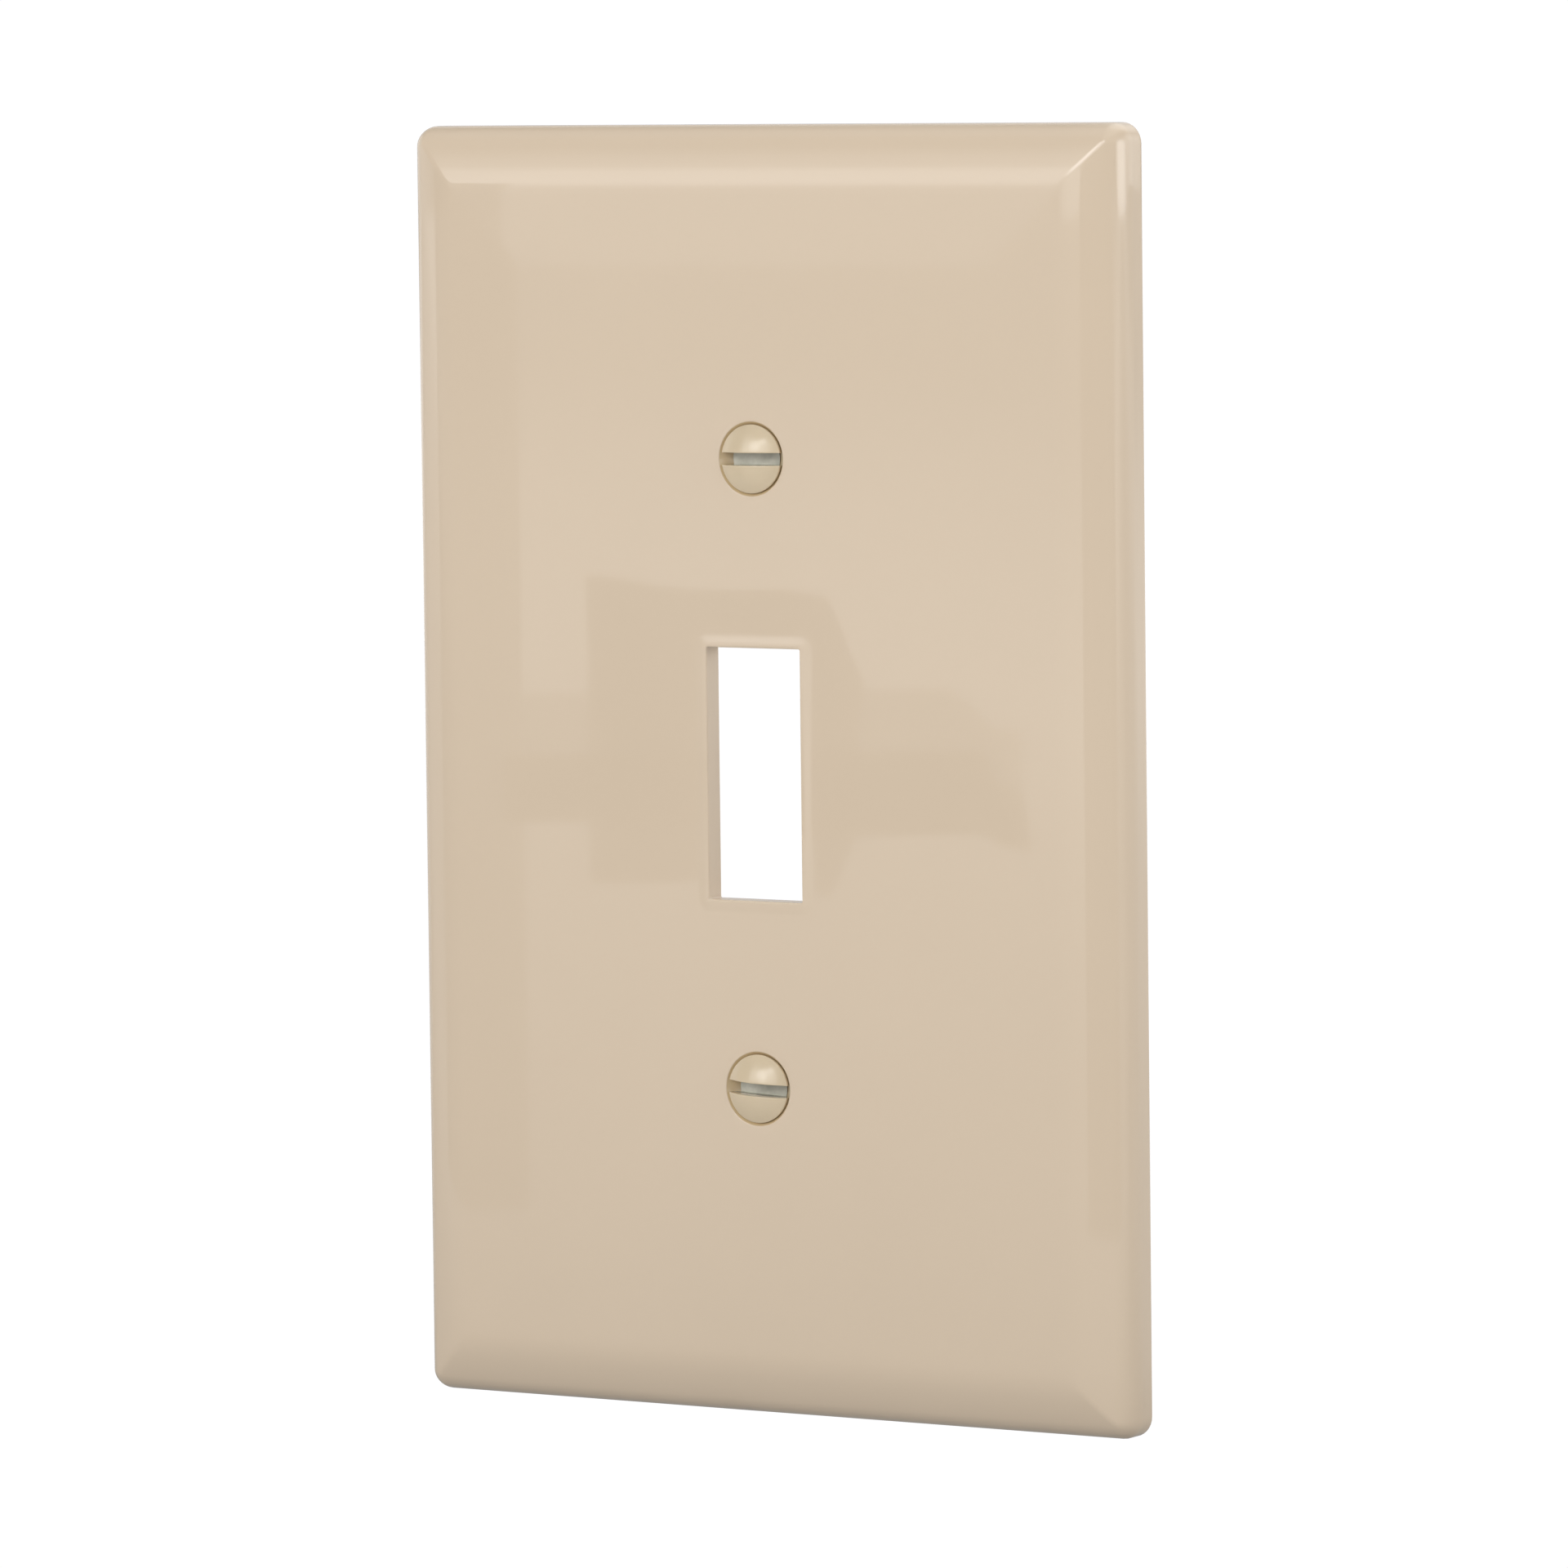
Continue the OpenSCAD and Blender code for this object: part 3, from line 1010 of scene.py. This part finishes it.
def glow_node(tree, kind, strength):
    """A white Emission or Background node. Its strength is a number, or None if a link gives it."""
    node = tree.nodes.new(kind)
    node.inputs["Color"].default_value = WHITE
    if strength is not None:
        node.inputs["Strength"].default_value = strength
    return node


def by_camera_ray(tree, lit, seen, output_kind):
    """The camera sees one shader, and everything else is lit by the other."""
    path = tree.nodes.new("ShaderNodeLightPath")
    mix = tree.nodes.new("ShaderNodeMixShader")
    output = tree.nodes.new(output_kind)
    tree.links.new(path.outputs["Is Camera Ray"], mix.inputs["Fac"])
    tree.links.new(lit.outputs[0], mix.inputs[1])
    tree.links.new(seen.outputs[0], mix.inputs[2])
    tree.links.new(mix.outputs["Shader"], output.inputs["Surface"])


def make_floor():
    """A plain floor under the plate. It looks evenly white, and its glow lights the plate from below."""
    bpy.ops.mesh.primitive_plane_add(size=FLOOR_SIZE, location=(0, 0, plate_low.z - FLOOR_GAP))
    floor = bpy.context.object
    floor.name = "floor"
    material = bpy.data.materials.new("floor_white")
    material.use_nodes = True
    tree = material.node_tree
    tree.nodes.clear()
    place = tree.nodes.new("ShaderNodeTexCoord")
    split = tree.nodes.new("ShaderNodeSeparateXYZ")
    tree.links.new(place.outputs["Object"], split.inputs["Vector"])
    away = math_node(tree, "ABSOLUTE", split.outputs["Y"])
    # Each zone of the floor goes smoothly from one glow to the next, between two distances in metres
    total = FLOOR_NEAR
    for start, end, low, high in (
        (0.003, 0.012, FLOOR_NEAR, FLOOR_MIDDLE),
        (0.012, 0.060, FLOOR_MIDDLE, FLOOR_FAR),
        (0.100, 0.450, FLOOR_FAR, FLOOR_OUT),
        (0.40, 0.95, FLOOR_OUT, FLOOR_PEAK),
        (0.95, 2.70, FLOOR_PEAK, FLOOR_BACK),
    ):
        change = map_range(tree, away, start, end, 0.0, high - low, smooth=True)
        total = math_node(tree, "ADD", change, total)
    glow = glow_node(tree, "ShaderNodeEmission", None)
    tree.links.new(total, glow.inputs["Strength"])
    seen = glow_node(tree, "ShaderNodeEmission", SEEN_WHITE)
    by_camera_ray(tree, glow, seen, "ShaderNodeOutputMaterial")
    floor.data.materials.append(material)


# The studio is a dim white tent with soft bright places where its lamps are. Each place has a name,
# an azimuth, an elevation, the angle within which it is brightest, the angle where it ends, and a strength
TENT_BASE = 0.13
TENT_LAMPS = (
    ("key_low", -32, 8, 3, 13, 1.21),
    ("key_middle", -32, 18, 3, 14, 1.45),
    ("key_high", -32, 29, 3, 16, 1.09),
    ("key_right", -13, 22, 3, 15, 4.40),
    ("key_centre", 4, 26, 3, 18, 1.33),
    ("key_core", 5, 33, 1, 8, 3.96),
    ("front", 30, 40, 8, 35, 0.19),
    ("near_front", 0, 12, 5, 30, 1.88),
    ("above", 0, 88, 10, 45, 0.78),
    ("above_back", 180, 55, 6, 34, 1.20),
    ("right", 88, 2, 4, 24, 4.20),
    ("right_wide", 90, 10, 6, 34, 0.65),
    ("right_back", 130, 8, 6, 34, 1.82),
    ("left", -98, 8, 6, 32, 0.74),
    ("left_back", -135, 8, 6, 34, 0.47),
    ("back", 180, 30, 8, 40, 0.66),
)


def make_world():
    """White to the eye. What lights the object is the tent."""
    world = bpy.data.worlds.new("studio")
    bpy.context.scene.world = world
    world.use_nodes = True
    tree = world.node_tree
    tree.nodes.clear()
    place = tree.nodes.new("ShaderNodeTexCoord")
    total = TENT_BASE
    for name, azimuth, elevation, inner, outer, strength in TENT_LAMPS:
        toward = tree.nodes.new("ShaderNodeVectorMath")
        toward.name = name
        toward.operation = "DOT_PRODUCT"
        tree.links.new(place.outputs["Generated"], toward.inputs[0])
        toward.inputs[1].default_value = direction(azimuth, elevation)
        start, end = math.cos(math.radians(outer)), math.cos(math.radians(inner))
        lamp = map_range(tree, toward.outputs["Value"], start, end, 0.0, strength, smooth=True)
        total = math_node(tree, "ADD", lamp, total)
    tent = glow_node(tree, "ShaderNodeBackground", None)
    tree.links.new(total, tent.inputs["Strength"])
    seen = glow_node(tree, "ShaderNodeBackground", SEEN_WHITE)
    by_camera_ray(tree, tent, seen, "ShaderNodeOutputWorld")


# Dim gaps in the tent, which only reflections show, and which look right from the photo's viewpoint only.
# Corners are (across, up) in metres from the middle of the plate's face, on an upright plane that stands
# away from it. Those of the block, the band, the left and the right are traced: a program worked them
# out from places in the photo
GAP_BLOCK = (
    (-0.020, 0.008), (-0.007, 0.006), (0.003, 0.006), (0.008, 0.005), (0.012, -0.005),
    (0.011, -0.023), (0.008, -0.030), (0.005, -0.029), (-0.007, -0.028), (-0.020, -0.028),
)
GAP_BAND = (
    (-0.035, -0.013), (-0.020, -0.013), (0.012, -0.013), (0.026, -0.013), (0.030, -0.016),
    (0.036, -0.018), (0.037, -0.025), (0.025, -0.023), (0.011, -0.023), (-0.020, -0.021),
    (-0.035, -0.021),
)
GAP_LEFT = (
    (-0.030, -0.006), (-0.020, -0.006), (-0.020, -0.013), (-0.030, -0.013),
)
GAP_RIGHT = (
    (0.012, -0.006), (0.022, -0.006), (0.027, -0.010), (0.036, -0.011), (0.036, -0.018),
    (0.030, -0.016), (0.026, -0.013), (0.012, -0.013),
)
GAP_SIDE = ((-0.150, -0.060), (-0.028, -0.060), (-0.028, 0.080), (-0.150, 0.080))
GAP_BEVEL = ((-0.010, -0.060), (0.100, -0.060), (0.100, 0.080), (-0.010, 0.080))


# The azimuths that the face and its right-hand bevel mirror to the camera
FACE_MIRRORS = -31.4
BEVEL_MIRRORS = 27.0
# Name, corners, how much of the light it takes away, azimuth, distance in metres
GAPS = (
    ("gap_block", GAP_BLOCK, 0.89, FACE_MIRRORS, 0.200),
    ("gap_band", GAP_BAND, 0.96, FACE_MIRRORS, 0.202),
    ("gap_left", GAP_LEFT, 0.50, FACE_MIRRORS, 0.204),
    ("gap_right", GAP_RIGHT, 0.55, FACE_MIRRORS, 0.204),
    ("gap_side", GAP_SIDE, 0.66, FACE_MIRRORS, 0.150),
    ("gap_bevel", GAP_BEVEL, 0.85, BEVEL_MIRRORS, 0.150),
)


def make_gap(name, corners, darkness, azimuth, away):
    """A flat card that is partly see-through and otherwise black."""
    out = direction(azimuth, 0)
    across = Vector((-out.y, out.x, 0))
    centre = Vector((0, -PLATE_D * MM, 0)) + out * away
    mesh = bpy.data.meshes.new(name)
    points = [centre + across * u + Vector((0, 0, v)) for u, v in corners]
    mesh.from_pydata(points, [], [tuple(range(len(points)))])
    gap = bpy.data.objects.new(name, mesh)
    bpy.context.scene.collection.objects.link(gap)
    material = bpy.data.materials.new(name)
    material.use_nodes = True
    nodes, links = material.node_tree.nodes, material.node_tree.links
    nodes.clear()
    dark = nodes.new("ShaderNodeEmission")
    dark.inputs["Strength"].default_value = 0.0
    clear = nodes.new("ShaderNodeBsdfTransparent")
    mix = nodes.new("ShaderNodeMixShader")
    mix.inputs["Fac"].default_value = darkness
    output = nodes.new("ShaderNodeOutputMaterial")
    links.new(clear.outputs["BSDF"], mix.inputs[1])
    links.new(dark.outputs["Emission"], mix.inputs[2])
    links.new(mix.outputs["Shader"], output.inputs["Surface"])
    mesh.materials.append(material)
    gap.visible_camera = False
    gap.visible_diffuse = False
    gap.visible_shadow = False
    gap.visible_transmission = False
    gap.visible_volume_scatter = False


make_camera()
ivory_plastic = make_ivory_plastic()
painted_screw = make_painted_screw()
make_plate(ivory_plastic)
make_screw("screw_upper", "upper_fastener", "upper_screw", painted_screw)
make_screw("screw_lower", "lower_fastener", "lower_screw", painted_screw)
make_floor()
make_world()
for gap in GAPS:
    make_gap(*gap)
bpy.context.scene.view_settings.view_transform = "Standard"
